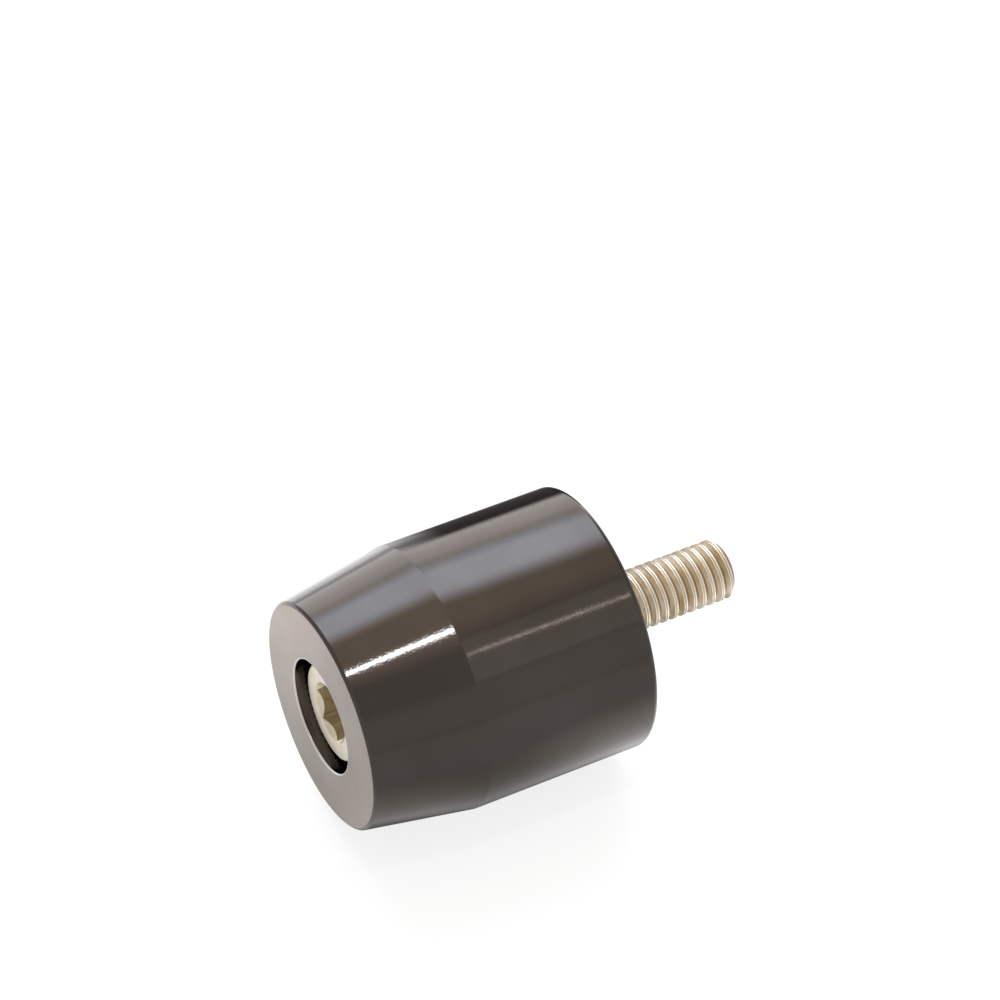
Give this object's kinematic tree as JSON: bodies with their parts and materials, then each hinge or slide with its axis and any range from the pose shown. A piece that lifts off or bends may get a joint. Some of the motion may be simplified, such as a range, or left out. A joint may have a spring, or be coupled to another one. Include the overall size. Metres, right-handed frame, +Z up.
{
  "type": "bar end weight",
  "caption": "Turned handlebar end weight: a cylinder with a tapered nose and a counterbored outer face, held to the end of the bar by a socket head screw through its axis.",
  "frame": {"origin": "centre of the flat seat face, where the weight meets the end of the handlebar", "axes": "+X along the common axis of weight and screw, from the seat face into the handlebar; +Z up"},
  "size_m": [0.042, 0.0254, 0.0254],
  "materials": {
    "anodised_weight": "gunmetal anodised, glossy",
    "screw_steel": "bright stainless"
  },
  "bodies": {
    "root": {"weight_body": "anodised_weight", "cap_screw": "screw_steel"}
  },
  "joints": []
}
